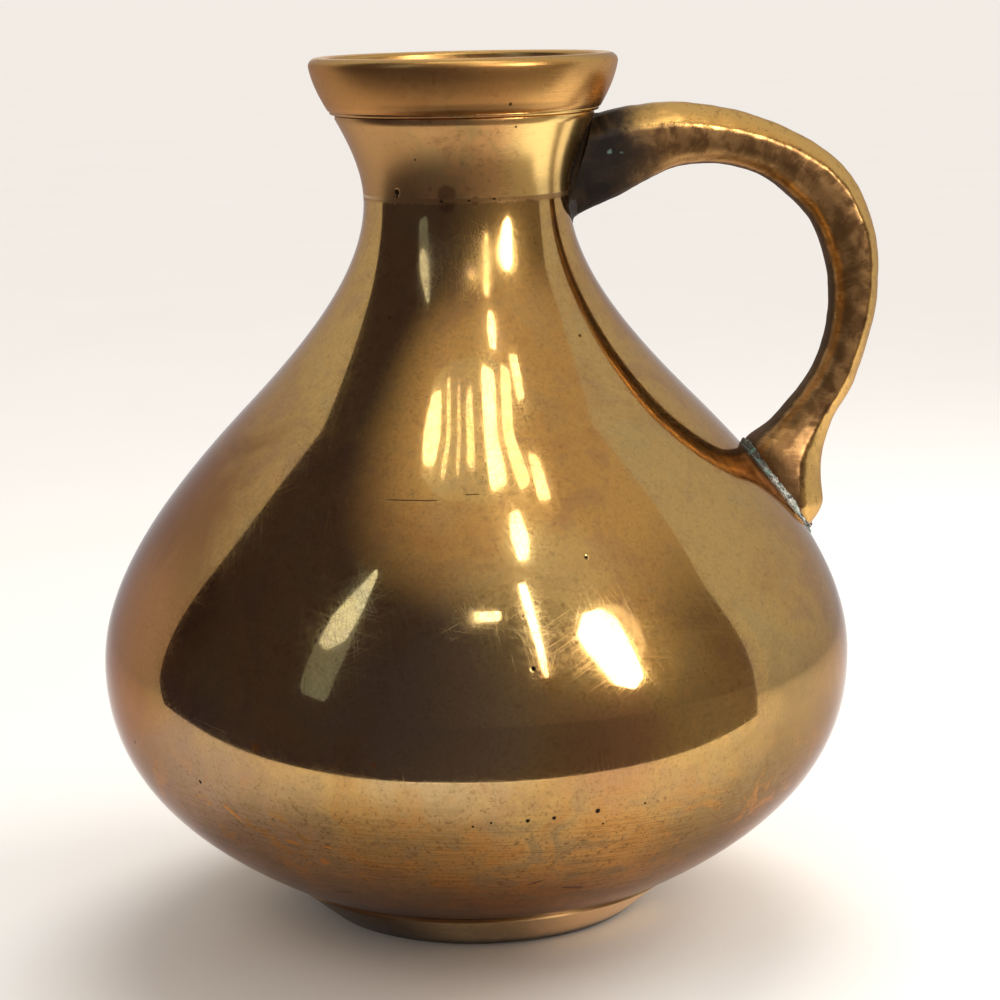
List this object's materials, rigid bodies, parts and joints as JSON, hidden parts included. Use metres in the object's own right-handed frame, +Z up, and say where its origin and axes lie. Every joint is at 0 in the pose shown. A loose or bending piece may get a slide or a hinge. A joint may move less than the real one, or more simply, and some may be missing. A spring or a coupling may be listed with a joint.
{
  "type": "brass jug",
  "caption": "Squat pear-shaped cast brass jug with a flared collar neck, a low tapering foot and an arched side handle, for holding and pouring liquid.",
  "frame": {"origin": "on the jug's axis at the floor, in the middle of the flat base", "axes": "+Z up along the jug's axis, +X towards the handle"},
  "size_m": [0.1584, 0.1496, 0.1709],
  "materials": {
    "body_brass": "worn polished cast brass with a pinkish tarnish, fine scratches and casting pits",
    "foot_brass": "dull brown tarnished brass",
    "handle_brass": "brown patina on the sides, rubbed gold on the outer face",
    "braze": "dull yellow braze with dark residue",
    "old_solder": "crusty grey-green old solder"
  },
  "bodies": {
    "root": {"neck_collar": "body_brass", "upper_body": "body_brass", "lower_bowl": "body_brass", "foot_ring": "foot_brass", "base_disc": "foot_brass", "handle": "handle_brass", "neck_braze": "braze", "belly_braze": "braze", "foot_solder": "braze", "base_solder": "braze", "upper_handle_solder": "old_solder", "lower_handle_solder": "old_solder"}
  },
  "joints": []
}
